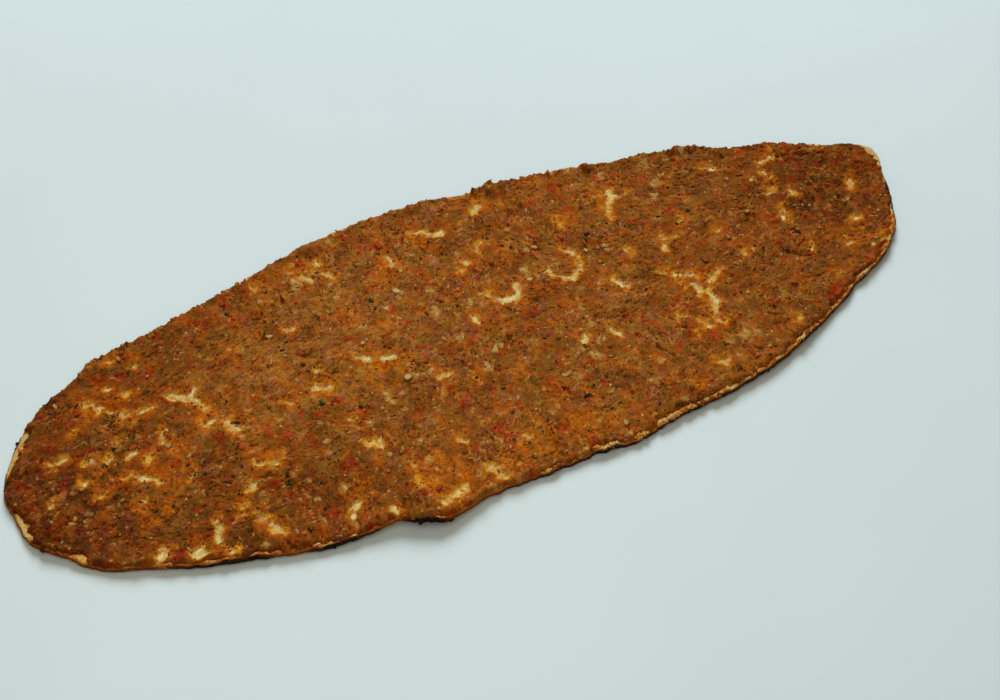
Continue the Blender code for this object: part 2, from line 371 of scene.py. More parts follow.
class Plan:
    """The flatbread's outline and how far it lifts off the table, from its CAD solid."""

    def __init__(self, node):
        low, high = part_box(node)
        self.half_length, self.half_width = (high.x - low.x) / 2, (high.y - low.y) / 2
        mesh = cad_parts[node].data
        rim = rim_points(mesh)
        self.turns = np.arctan2(rim[:, 1], rim[:, 0])
        self.radii = np.hypot(rim[:, 0], rim[:, 1])
        self.tree = BVHTree.FromPolygons(
            [tuple(vertex.co) for vertex in mesh.vertices], [tuple(face.vertices) for face in mesh.polygons])

    def radius(self, turn):
        """Distance from the middle to the smooth edge in this direction."""
        return np.interp(turn, self.turns, self.radii, period=2 * pi)

    def edge(self, turn):
        """The points of the smooth edge in these directions."""
        return polar(self.radius(turn), turn)

    def oval_angle(self, turn):
        """The angle round the oval, as the CAD source counts it, in degrees."""
        return np.degrees(np.arctan2(np.sin(turn) / self.half_width, np.cos(turn) / self.half_length))

    def turn_at(self, oval_angle):
        """The direction from the middle, in radians, that has this angle round the oval, in radians too."""
        return np.arctan2(self.half_width * np.sin(oval_angle), self.half_length * np.cos(oval_angle))

    def along_edge(self, turn, bells):
        """The sum of soft bells along the edge, each (angle round the oval, height, half spread)."""
        angle = self.oval_angle(turn)
        total = np.zeros(np.shape(turn))
        for centre, height, spread in bells:
            away = (angle - centre + 180) % 360 - 180
            total += height * np.exp(-((away / spread) ** 2))
        return total

    def ragged_radius(self, turn):
        """Distance from the middle to the torn and blistered edge."""
        strength = 0.45 + self.along_edge(turn, RAGGED_STRETCHES)
        return self.radius(turn) + strength * mixed_waves(*self.edge(turn), *RAGGED_WAVES) * MM

    def depth(self, turn):
        """How deep the oval is in this direction, measured square to its edge."""
        angle = np.radians(self.oval_angle(turn))
        return self.half_length * self.half_width / np.hypot(
            self.half_length * np.sin(angle), self.half_width * np.cos(angle))

    def inset(self, x, y, edge_radius=None):
        """How far a point lies inside the ragged edge, or inside another edge with this radius."""
        turn = np.arctan2(y, x)
        radius = (edge_radius or self.ragged_radius)(turn)
        return (1 - np.hypot(x, y) / radius) * self.depth(turn)

    def lift(self, x, y):
        """Height of the CAD solid's underside, read a little inside its rounded rim."""
        turn = np.arctan2(y, x)
        reach = np.minimum(np.hypot(x, y), self.radius(turn) * (1 - 3 * MM / self.depth(turn)))
        heights = np.zeros(np.shape(x))
        for k, (px, py) in enumerate(zip(*polar(reach, turn))):
            hit = self.tree.ray_cast(Vector((px, py, -1)), Vector((0, 0, 1)))[0]
            heights[k] = hit.z if hit else 0
        return heights


PLAN = Plan("flatbread")


def blistering(turn):
    """How bare and blistered the rim is in this direction: 0 where meat covers it, about 1 on a blister."""
    patchy = mixed_waves(*PLAN.edge(turn), (0.5, 9, 21), (0.5, 4.2, 22), (0.35, 2.3, 23))
    return np.clip(PLAN.along_edge(turn, BLISTERED_STRETCHES) + patchy, 0, 1.3)


def sleekness(turn):
    """1 where the rim is smooth bare dough, and 0 where it may be lumpy."""
    return unit(PLAN.along_edge(turn, BARE_RIMS) / 1.6)


def char_at(turn, x, y):
    """How charred the edge is in this direction, from 0 to about 1.2."""
    patchy = mixed_waves(x, y, (0.45, 11, 71), (0.35, 4.5, 72))
    return np.clip(PLAN.along_edge(turn, CHARRED_STRETCHES) + 0.25 + patchy, 0, 1.2)


# Streaks of bare dough.

def small_streaks():
    """Short random streaks, like the large ones that have places of their own."""
    draw = np.random.default_rng(SEEDS["small_streaks"])
    streaks = []
    for _ in range(SMALL_STREAKS):
        turn, reach = draw.uniform(0, 2 * pi), draw.uniform(0.1, 0.97) ** 0.5
        x = reach * PLAN.half_length * cos(turn) / MM
        y = reach * PLAN.half_width * sin(turn) / MM
        way, length = draw.uniform(0, pi), draw.uniform(0.5, 4)
        end = (x + length * cos(way), y + length * sin(way))
        streaks.append((draw.uniform(0.5, 1.0), (x, y), end))
    return streaks


ALL_STREAKS = list(BARE_STREAKS) + small_streaks()


def ragged_streak(x, y):
    """Millimetres inside the torn edge of the nearest streak of bare dough, below 0 outside it."""
    deepest = np.full(np.shape(x), -6.0)
    for half_width, *points in ALL_STREAKS:
        deepest = np.maximum(deepest, half_width - path_distance(x, y, points) / MM)
    return deepest - 0.2 + mixed_waves(x, y, (2.0, 5.5, 31), (1.3, 2.6, 32), (0.4, 1.3, 33))


def bareness(x, y):
    """0 where meat covers the dough, 1 where the dough is bare."""
    return smooth_step(0.5 + ragged_streak(x, y) / 2.2)


# Heights of the bread's faces.

def rim_bubbles(x, y, inset):
    """Blisters of the rim: a bumpy 0 to 1 that fades out inside the rim."""
    away, _, value = cells(x, y, RIM_BUBBLE_SIZE, 41)
    small, _, small_value = cells(x, y, RIM_BUBBLE_SIZE * 0.6, 42)
    bump = unit(1 - (away / 0.6) ** 2) * np.clip(value * 2.2 - 0.6, 0, 1.2)
    bump = bump + 0.5 * unit(1 - (small / 0.6) ** 2) * unit(small_value * 1.8 - 0.4)
    bump = bump * (1 - 0.8 * sleekness(np.arctan2(y, x)))
    return bump * smooth_step(1.6 - inset / (3 * MM)) * smooth_step(inset / (0.4 * MM))


def bread_thickness(x, y, inset, bare):
    """Thickness of the bread between its rounded faces."""
    rim = smooth_step(1 - inset / RIM_WIDTH)
    swell = 1 + mixed_waves(x, y, (0.22, 16, 43), (0.14, 6, 44))
    thick = PAN_THICKNESS + (RIM_THICKNESS * swell - PAN_THICKNESS) * rim
    puff = bare * (1.1 + 0.5 * waves(x, y, 4, 45)) * MM
    lumps = blistering(np.arctan2(y, x)) * smooth_step(1.3 - inset / (3.2 * MM))
    return thick + puff + 0.8 * MM * lumps + 0.9 * MM * rim_bubbles(x, y, inset)


def rounding(inset):
    """0 at the edge to 1 where the rounded rim ends."""
    outside = 1 - unit(inset / RIM_ROUNDING)
    return np.sqrt(1 - outside ** 2)


def bread_top(x, y, bare):
    """Height of the bread's upper face, which is puffed up where it is bare."""
    inset = PLAN.inset(x, y)
    return PLAN.lift(x, y) + bread_thickness(x, y, inset, bare) * (0.5 + 0.5 * rounding(inset))


def bread_under(x, y):
    """Height of the bread's lower face, which has shallow hollows."""
    inset = PLAN.inset(x, y)
    edge = PAN_THICKNESS + (RIM_THICKNESS - PAN_THICKNESS) * smooth_step(1 - inset / RIM_WIDTH)
    hollows = unit(mixed_waves(x, y, (0.12, 7, 46), (0.10, 3, 47))) * MM
    return PLAN.lift(x, y) + 0.5 * edge * (1 - rounding(inset)) + hollows


# Height and traits of the meat.

def mince_fields(x, y):
    """The pressed mince: its height in millimetres, and its other traits as shares from 0 to 1."""
    rough = unit(0.5 + 1.5 * waves(x, y, 17, 66))
    wide_x, wide_y = x + 1.8 * MM * waves(x, y, 5, 67), y + 1.8 * MM * waves(x, y, 5, 68)
    _, chunk_gap, chunk = cells(wide_x, wide_y, MINCE_CHUNK, 64)
    hue = cells(wide_x, wide_y, 1.2 * MINCE_CHUNK, 65)[2]
    seam = unit(1 - chunk_gap / 0.22)
    bent_x = x + mixed_waves(x, y, (0.8, 3.1, 51), (0.4, 1.5, 58)) * MM
    bent_y = y + mixed_waves(x, y, (0.8, 3.1, 52), (0.4, 1.5, 59)) * MM
    away, gap, tone = cells(bent_x, bent_y, MINCE_GRAIN, 53)
    _, small_gap, small_tone = cells(bent_x, bent_y, MINCE_GRAIN * 0.55, 54)
    crevice_and_shade = unit(1 - gap / 0.25) * unit(1.6 * rough - 0.4)
    dome = 0.30 * (1 - away ** 2) + 0.55 * (tone - 0.5)
    small = 0.50 * (small_tone - 0.5) + 0.10 * unit(small_gap / 0.3)
    grains = dome + small + 0.25 * waves(x, y, 2.9, 62)
    heaps = mixed_waves(x, y, (0.35, 13, 55), (0.35, 6, 56)) + 0.6 * (chunk - 0.5) - 0.3 * seam
    pit_away, _, pit_tone = cells(bent_x, bent_y, 3.1, 57)
    pits = unit(1 - pit_away / 0.28) * (pit_tone > 0.78) * unit(0.3 + 1.6 * waves(x, y, 9, 63))
    crowded = unit(0.5 + 1.6 * waves(x, y, 34, 220))
    onion = np.maximum(patches(x, y, 7.5, 201, 0.16 * crowded), patches(x, y, 4, 204, 0.20 * crowded))
    pepper = np.maximum(patches(x, y, 8, 207, 0.14), patches(x, y, 4.5, 210, 0.10))
    pale, red = unit(0.5 + onion / 0.34), unit(0.5 + pepper / 0.16)
    height = heaps + (0.6 + 0.7 * rough) * grains - 0.35 * crevice_and_shade - 1.1 * pits
    height = height + 0.25 * np.maximum(pale, red)
    # The crevices and pits are also handed to the material, which paints them darker as painted shade.
    return {"height": height, "crevice_and_shade": np.maximum(0.7 * crevice_and_shade, pits), "rough": rough, "chunk": chunk,
            "hue": hue, "seam": seam, "pale": pale, "red": red, "halo": unit(1 + onion / 0.3)}


def crack_depth(x, y):
    """1 in the middle of an open crack, falling to 0 at its jagged sides."""
    jag = 0.5 * MM * waves(x, y, 2.2, 61)
    return unit(1 - np.min([path_distance(x + jag, y - jag, points) for points in CRACKS], 0) / (0.8 * MM))


def meat_edge(turn):
    """Distance from the middle to the meat's edge, a little inside the ragged edge of the bread."""
    torn = waves(*PLAN.edge(turn), 2.8, 24)
    margin = MEAT_MARGIN * (1 + torn) + BLISTER_MARGIN * blistering(turn)
    margin = np.maximum(margin + (1 + 0.5 * torn) * PLAN.along_edge(turn, BARE_RIMS) * MM, 0.1 * MM)
    return PLAN.ragged_radius(turn) * (1 - margin / PLAN.depth(turn))


def edge_heaps(x, y, from_edge):
    """Millimetres that the meat rises in heaps near its own edge."""
    near = smooth_step(from_edge / (3 * MM)) * smooth_step(2 - from_edge / (6 * MM))
    height = near * unit(0.2 + 1.2 * waves(x, y, 8, 69))
    frayed = 1.6 + 0.6 * waves(x, y, 4, 70)
    for *place, extra in HEAPS:
        height = height + extra * smooth_step(frayed - 1.6 * share_of_radius(x, y, *place))
    return height


def meat_surface(x, y):
    """(height of the spread, bareness, the mince's fields) at these points.

    The meat sinks into the bread at its own edge and where the dough is bare.
    """
    bare, fields, crack = bareness(x, y), mince_fields(x, y), crack_depth(x, y)
    from_edge = PLAN.inset(x, y, meat_edge)
    near = smooth_step(from_edge / (2.4 * MM))
    cover = (0.35 + 0.65 * near) * smooth_step(from_edge / (0.5 * MM)) * (1 - bare)
    thick = MEAT_THICKNESS + (fields["height"] + edge_heaps(x, y, from_edge)) * MM - 1.5 * MM * crack
    # Cracks are painted darker too, as painted shade in their depth.
    fields["crevice_and_shade"] = np.maximum(fields["crevice_and_shade"], crack)
    return bread_top(x, y, bare) - 0.40 * MM + cover * (thick + 0.2 * MM), bare, fields


# Meshes.

def new_piece(name, material, points, faces):
    """A smooth object with this mesh, which rides on the part's one body."""
    mesh = bpy.data.meshes.new(name)
    mesh.from_pydata(points.tolist(), [], faces)
    mesh.shade_smooth()
    mesh.materials.append(material)
    piece = bpy.data.objects.new(name, mesh)
    bpy.context.scene.collection.objects.link(piece)
    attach(piece, "root")
    return piece


def add_numbers(piece, **numbers):
    """Numbers that the material reads, each given for every point or for every bit of the piece."""
    for name, values in numbers.items():
        each = len(piece.data.vertices) // len(values)
        attribute = piece.data.attributes.new(name, "FLOAT", "POINT")
        attribute.data.foreach_set("value", np.repeat(values, each).astype(np.float32))


def dough_numbers(piece, x, y, below):
    """What the dough's material reads, for each point or bit of a piece. Some points lie below the bread."""
    inset, turn = PLAN.inset(x, y), np.arctan2(y, x)
    near_edge = smooth_step(1 - inset / (5 * MM))
    reach = (0.45 + PLAN.along_edge(turn, SCORCHED_TOPS)) * MM
    burnt_reach = np.where(below, 0.35 + 0.65 * near_edge, smooth_step(1.3 - inset / reach))
    add_numbers(
        piece, streak=np.where(below, -6, ragged_streak(x, y)), sleek=sleekness(turn),
        blister=blistering(turn) + 0.5 * PLAN.along_edge(turn, BARE_RIMS),
        side=np.where(below, 1.0, smooth_step(1 - inset / (1.5 * MM))),
        char=char_at(turn, x, y) * burnt_reach, below=below.astype(float))


def mince_numbers(piece, x, y, fields):
    """What the mince's material reads, for each point or bit of a piece."""
    oil = 0.7 * zones(x, y, OILY_ZONES) + mixed_waves(x, y, (0.12, 13, 81), (0.18, 5, 82))
    oil = oil + 0.5 * unit(0.5 + patches(x, y, 6, 213, 0.25) / 0.2) + 0.45 * fields["halo"]
    herb = 0.5 * zones(x, y, HERB_ZONES) + mixed_waves(x, y, (0.20, 12, 83), (0.25, 4, 84))
    herb = herb + 0.7 * unit(0.5 + patches(x, y, 5.5, 216, 0.25) / 0.2)
    # Painted shade darkens the meat towards both ends, more at the left, and in the shaded zones; the lit
    # zones are painted lighter.
    end = (x / PLAN.half_length) ** 2
    painted_shade = 0.42 * zones(x, y, SHADED_ZONES) + np.where(x < 0, 0.86, 0.66) * end
    painted_light_and_shade = 0.34 * zones(x, y, LIT_ZONES) - painted_shade
    # The meat's tone is painted lighter on its high places and darker in its low ones, as painted highlight
    # and shade, with the broad painted light and shade added; grains bring their own random tone.
    add_numbers(
        piece, oil=unit(oil), herb=unit(herb), red=np.maximum(fields["red"], zones(x, y, RED_ZONES)),
        streak=ragged_streak(x, y), pale=fields["pale"] * (1 - 0.5 * end),
        relief=np.clip(0.5 + 0.5 * fields["height"] + painted_light_and_shade, -0.7, 1.4),
        **{name: fields[name] for name in ("crevice_and_shade", "rough", "chunk", "hue", "seam")})


def square_to_disc(columns, rows, crowding):
    """A grid's points as (reach, turn) on a disc: nested squares become nested rings."""
    u, v = np.meshgrid(np.linspace(-1, 1, columns + 1), np.linspace(-1, 1, rows + 1), indexing="ij")
    u, v = u.ravel(), v.ravel()
    wide = np.abs(u) >= np.abs(v)
    reach = np.where(wide, np.abs(u), np.abs(v))
    with np.errstate(divide="ignore", invalid="ignore"):
        side = np.nan_to_num(np.where(wide, pi / 4 * v / u, pi / 2 - pi / 4 * u / v))
    turn = np.where(np.where(wide, u, v) < 0, side + pi, side)
    return reach + crowding * reach * (1 - reach), turn


def pressed_piece(shape, edge_radius, top, under):
    """Points and faces of a closed, flat piece, and how many of the points lie on top.

    Its shape is (columns, rows and crowding of the grid on top, insets of the rings below in millimetres).
    """
    columns, rows, crowding, under_insets = shape
    reach, turn = square_to_disc(columns, rows, crowding)
    turn = PLAN.turn_at(turn)
    x, y = polar(reach * edge_radius(turn), turn)
    points, count = [np.stack([x, y, top(x, y)], 1)], len(x)
    grid = np.arange(count).reshape(columns + 1, rows + 1)
    faces = np.stack([grid[:-1, :-1], grid[1:, :-1], grid[1:, 1:], grid[:-1, 1:]], 2).reshape(-1, 4).tolist()
    outer = np.concatenate([grid[:-1, 0], grid[-1, :-1], grid[:0:-1, -1], grid[0, :0:-1]])
    edge_x, edge_y, edge_depth = x[outer], y[outer], PLAN.depth(turn[outer])
    for inset in under_insets:
        share = np.maximum(1 - inset * MM / edge_depth, 0.02)
        ring_x, ring_y = edge_x * share, edge_y * share
        points.append(np.stack([ring_x, ring_y, under(ring_x, ring_y)], 1))
        inner = np.arange(count, count + len(outer))
        faces += np.stack([np.roll(outer, -1), outer, inner, np.roll(inner, -1)], 1).tolist()
        outer, count = inner, count + len(inner)
    points.append([[0, 0, under(np.zeros(1), np.zeros(1))[0]]])
    faces += np.stack([np.roll(outer, -1), outer, np.full(len(outer), count)], 1).tolist()
    return np.concatenate(points), faces, len(x)


def make_bread(material):
    """The flatbread, puffed and blistered along its rim and under the bare streaks."""
    points, faces, top_count = pressed_piece(
        BREAD_MESH, PLAN.ragged_radius, lambda x, y: bread_top(x, y, bareness(x, y)), bread_under)
    bread = new_piece("baked_flatbread", material, points, faces)
    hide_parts("flatbread")
    x, y, _ = points.T
    dough_numbers(bread, x, y, np.arange(len(x)) >= top_count)
    add_numbers(bread, bubble=rim_bubbles(x, y, PLAN.inset(x, y)))


def make_meat(material):
    """The spread of mince, which reaches down into the bread so that nothing shows between them."""
    points, faces, _ = pressed_piece(
        MEAT_MESH, meat_edge, lambda x, y: meat_surface(x, y)[0],
        lambda x, y: PLAN.lift(x, y) + 0.6 * PAN_THICKNESS)
    meat = new_piece("minced_spread", material, points, faces)
    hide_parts("meat_spread")
    x, y, _ = points.T
    mince_numbers(meat, x, y, meat_surface(x, y)[2])


# Shapes of the bits, as (points, faces). They reach about 1 from their middle.

def ball(points):
    """A ball through these directions, with a face wherever three of them are neighbours."""
    points = points / np.linalg.norm(points, axis=1)[:, None]
    faces = []
    for a, b, c in combinations(range(len(points)), 3):
        ab, bc, ca = points[b] - points[a], points[c] - points[b], points[a] - points[c]
        if max(np.linalg.norm([ab, bc, ca], axis=1)) < NEIGHBOURS:
            faces.append((a, b, c) if np.cross(ab, bc) @ points[a] > 0 else (a, c, b))
    return points, faces


def mound(count, *rings):
    """A low mound: rings of so many points, each (radius, height), with a middle on top and one below."""
    turn = np.arange(count) * 2 * pi / count
    points = [np.stack([*polar(radius, turn), np.full(count, height)], 1) for radius, height in rings]
    top, faces = count * len(rings), []
    for a in range(count):
        b = (a + 1) % count
        for step in range(0, top - count, count):
            faces += [(a + step, b + step, b + step + count), (a + step, b + step + count, a + step + count)]
        faces += [(a + top - count, b + top - count, top), (b, a, top + 1)]
    return np.concatenate([*points, [(0, 0, 1), (0, 0, -1)]]), faces


PEBBLE = ball(np.array([
    (1, 0, 0), (-1, 0, 0), (0, 1, 0), (0, -1, 0), (0, 0, 1), (0, 0, -1), (1, 1, 0), (0, 1, 1), (1, 0, 1),
    (-1, 1, 0), (-1, 0, 1), (-1, -1, 0), (0, -1, 1), (1, -1, 0), (1, 0, -1), (0, 1, -1), (-1, 0, -1),
    (0, -1, -1)]))
GOLDEN = (1 + 5 ** 0.5) / 2
CRUMB = ball(np.array([
    point for a, b in product((-1, 1), (-GOLDEN, GOLDEN)) for point in ((a, b, 0), (0, a, b), (b, 0, a))]))
CHIP = mound(9, (1, 0), (0.62, 0.8))
LEAF = mound(9, (1, 0))
SCALE = mound(7, (1, 0))


# Bits: one of these shapes, repeated with its own size, turn and dents.

def turns_of(count, draw, tilt, headings):
    """Rotation matrices: a turn about Z, random if it isn't given, after a tilt of about so many degrees."""
    heading, way = draw.uniform(0, 2 * pi, (2, count))
    if headings is not None:
        heading = headings
    lean = radians(tilt) * draw.normal(0, 0.5, count)
    (x, y), (c, s), (ch, sh) = polar(1, way), polar(1, lean), polar(1, heading)
    zero, one = np.zeros(count), np.ones(count)
    tilted = np.array([
        [c + x * x * (1 - c), x * y * (1 - c), y * s],
        [x * y * (1 - c), c + y * y * (1 - c), -x * s],
        [-y * s, x * s, c]])
    headed = np.array([[ch, -sh, zero], [sh, ch, zero], [zero, zero, one]])
    return np.einsum("ijn,jkn->nik", tilted, headed)


def scatter(name, material, shape, places, sizes, dents, tilt, draw, headings=None):
    """Joins a copy of the shape for each place, (x, y, z), with its own size, dents and turn."""
    points, faces = shape
    places, sizes = np.stack(places, 1), np.stack(sizes, 1)
    count = len(places)
    bulges = 1 + dents * draw.normal(0, 1, (count, len(points)))
    shapes = points[None] * np.clip(bulges, 0.4, 1.8)[:, :, None] * sizes[:, None, :]
    turned = np.einsum("nij,nkj->nki", turns_of(count, draw, tilt, headings), shapes) + places[:, None, :]
    joined = (np.array(faces)[None] + np.arange(count)[:, None, None] * len(points)).reshape(-1, 3)
    piece = new_piece(name, material, turned.reshape(-1, 3), joined.tolist())
    add_numbers(piece, top=np.tile(points[:, 2], count))
    return piece


def random_places(count, draw, inset_low, inset_high=1000):
    """Random points of the meat, between two insets from its edge in millimetres."""
    x = draw.uniform(-1, 1, 6 * count) * (PLAN.half_length + 2 * MM)
    y = draw.uniform(-1, 1, 6 * count) * (PLAN.half_width + 2 * MM)
    inside = PLAN.inset(x, y, meat_edge)
    keep = (inside > inset_low * MM) & (inside < inset_high * MM)
    return x[keep][:count], y[keep][:count]


def on_meat(x, y, most_bare):
    """(x, y, height, the mince's fields) of the points where little of the dough is bare."""
    top, bare, fields = meat_surface(x, y)
    keep = bare < most_bare
    return x[keep], y[keep], top[keep], {name: values[keep] for name, values in fields.items()}


def with_large(x, y, long, large):
    """Adds bits with places of their own, given as (x, y, length) in millimetres."""
    large_x, large_y, length = np.reshape(large, (-1, 3)).T * MM
    return np.append(x, large_x), np.append(y, large_y), np.append(long, length / 2)


def make_grains(material):
    """Grains and shreds of mince that stand out of the spread, thickest along its edge."""
    draw = np.random.default_rng(SEEDS["mince_grains"])
    x, y = np.hstack([random_places(GRAINS, draw, 0.3), random_places(EDGE_GRAINS, draw, 0, 2)])
    x, y, top, fields = on_meat(x, y, 0.35)
    count = len(x)
    shred = draw.uniform(0, 1, count) < 0.10
    long = np.minimum(0.45 + draw.gamma(2.0, 0.22, count), 1.6) * np.where(shred, 1.7, 1) * MM
    wide = long * np.where(shred, draw.uniform(0.22, 0.35, count), draw.uniform(0.6, 1.0, count))
    high = long * np.where(shred, 0.22, draw.uniform(0.45, 0.8, count))
    places = (x, y, top - np.where(shred, 0.1, 0.5) * high)
    sizes = (long, wide, high)
    grains = scatter("mince_grains", material, PEBBLE, places, sizes, 0.13, 22, draw)
    fields["height"] = np.where(shred, 0.6, 0.1) + draw.normal(0, 0.45, count)
    fields["crevice_and_shade"] = np.zeros(count)
    mince_numbers(grains, x, y, fields)


def make_crumbs(material):
    """The finest grain of the spread."""
    draw = np.random.default_rng(SEEDS["mince_crumbs"])
    x, y, top, fields = on_meat(*random_places(CRUMBS, draw, 0.1), 0.3)
    count = len(x)
    long = draw.uniform(0.28, 0.62, count) * MM
    sizes = (long, long * draw.uniform(0.6, 1.0, count), long * draw.uniform(0.6, 0.9, count))
    places = (x, y, top - 0.2 * sizes[2])
    crumbs = scatter("mince_crumbs", material, CRUMB, places, sizes, 0.12, 40, draw)
    fields["height"] = fields["height"] + draw.normal(0, 0.25, count)
    mince_numbers(crumbs, x, y, fields)


def make_chips(name, counts, material, large=()):
    """Chips pressed into the meat: some longer, some shorter, and large ones with places of their own."""
    draw = np.random.default_rng(SEEDS[name])
    x, y = random_places(sum(counts), draw, 1)
    long = np.where(np.arange(len(x)) < counts[0], *CHIP_LENGTHS) * draw.uniform(0.6, 1.4, len(x))
    x, y, long = with_large(x, y, long, large)
    top, bare, _ = meat_surface(x, y)
    count = len(x)
    sizes = (long, long * draw.uniform(0.4, 0.85, count), long * draw.uniform(0.16, 0.24, count))
    places = (x, y, top + 0.05 * MM + 0.2 * MM * bare)
    chips = scatter(name, material, CHIP, places, sizes, 0.16, 12, draw)
    add_numbers(chips, tone=draw.uniform(0, 1, count))


def make_parsley(material):
    """Flakes of parsley: most lie in loose groups, and the largest have places of their own."""
    draw = np.random.default_rng(SEEDS["parsley_flakes"])
    groups = np.stack(random_places(HERB_GROUPS, draw, 2), 1)
    in_zones = np.array(HERB_ZONES)[draw.integers(0, len(HERB_ZONES), ZONE_GROUPS)] * MM
    middles = np.concatenate([groups, in_zones[:, :2]])
    spread = np.append(np.full(len(groups), 2.2 * MM), 0.6 * in_zones[:, 2])
    picked = draw.integers(0, len(middles), HERB_FLAKES)
    x, y = (middles[picked] + draw.normal(0, 1, (HERB_FLAKES, 2)) * spread[picked, None]).T
    inside = PLAN.inset(x, y, meat_edge) > 0.8 * MM
    x, y = x[inside], y[inside]
    long = np.minimum(0.3 + draw.gamma(2.0, 0.24, len(x)), 1.6) * MM
    x, y, long = with_large(x, y, long, LARGE_LEAVES)
    count = len(x)
    sizes = (long, long * draw.uniform(0.35, 0.8, count), 0.12 * MM + 0.12 * long)
    places = (x, y, meat_surface(x, y)[0] + 0.05 * MM)
    leaves = scatter("parsley_flakes", material, LEAF, places, sizes, 0.24, 30, draw)
    add_numbers(leaves, tone=draw.uniform(0, 1, count))


def make_rim_lumps(material):
    """Crisp little blisters that lie along the bare stretches of the rim."""
    draw = np.random.default_rng(SEEDS["rim_blisters"])
    turn = draw.uniform(-pi, pi, 12 * RIM_LUMPS)
    turn = turn[blistering(turn) - sleekness(turn) > draw.uniform(0.45, 1.0, len(turn))][:RIM_LUMPS]
    count = len(turn)
    back = draw.uniform(0.3, 1.7, count) * MM
    x, y = polar(PLAN.ragged_radius(turn) - back * PLAN.radius(turn) / PLAN.depth(turn), turn)
    (here_x, here_y), (ahead_x, ahead_y) = PLAN.edge(turn), PLAN.edge(turn + 0.01)
    along = np.arctan2(ahead_y - here_y, ahead_x - here_x)
    long = np.minimum(0.5 + draw.gamma(2.0, 0.3, count), 2.2) * MM
    wide = draw.uniform(0.35, 0.9, count) * MM
    sizes = (long, wide, wide * draw.uniform(0.5, 1.1, count))
    places = (x, y, bread_top(x, y, np.zeros(count)) - 0.35 * sizes[2])
    headings = along + draw.normal(0, 0.6, count)
    lumps = scatter("rim_blisters", material, PEBBLE, places, sizes, 0.13, 20, draw, headings)
    dough_numbers(lumps, x, y, np.zeros(count, bool))
    add_numbers(lumps, bubble=draw.uniform(-1.0, 1.0, count))


def make_char_flakes(material):
    """Thin burnt scales along the most charred stretches of the rim, and a few large ones."""
    draw = np.random.default_rng(SEEDS["charred_scales"])
    turn = draw.uniform(-pi, pi, 4000)
    charred = char_at(turn, *polar(PLAN.ragged_radius(turn), turn)) > 1.0
    angles, lengths = np.array(LARGE_SCALES).T
    turn = np.append(turn[charred][:SMALL_SCALES], PLAN.turn_at(np.radians(angles)))
    count, large = len(turn), len(LARGE_SCALES)
    back, long = draw.uniform(0.4, 1.4, count) * MM, draw.uniform(0.4, 1.1, count) * MM
    back[-large:] = 0.5 * MM
    long[-large:] = lengths / 2 * MM
    x, y = polar(PLAN.ragged_radius(turn) - back, turn)
    sizes = (long, long * draw.uniform(0.5, 0.9, count), np.full(count, 0.25 * MM))
    places = (x, y, PLAN.lift(x, y) + draw.uniform(0.8, 1.6, count) * MM)
    scatter("charred_scales", material, SCALE, places, sizes, 0.25, 30, draw)


# Materials.

def srgb(red, green, blue):
    """A colour given as it looks on a screen, 0 to 255, as the linear colour that shaders take."""
    linear = []
    for channel in (red, green, blue):
        share = channel / 255
        linear.append(share / 12.92 if share <= 0.04045 else ((share + 0.055) / 1.055) ** 2.4)
    return (*linear, 1)


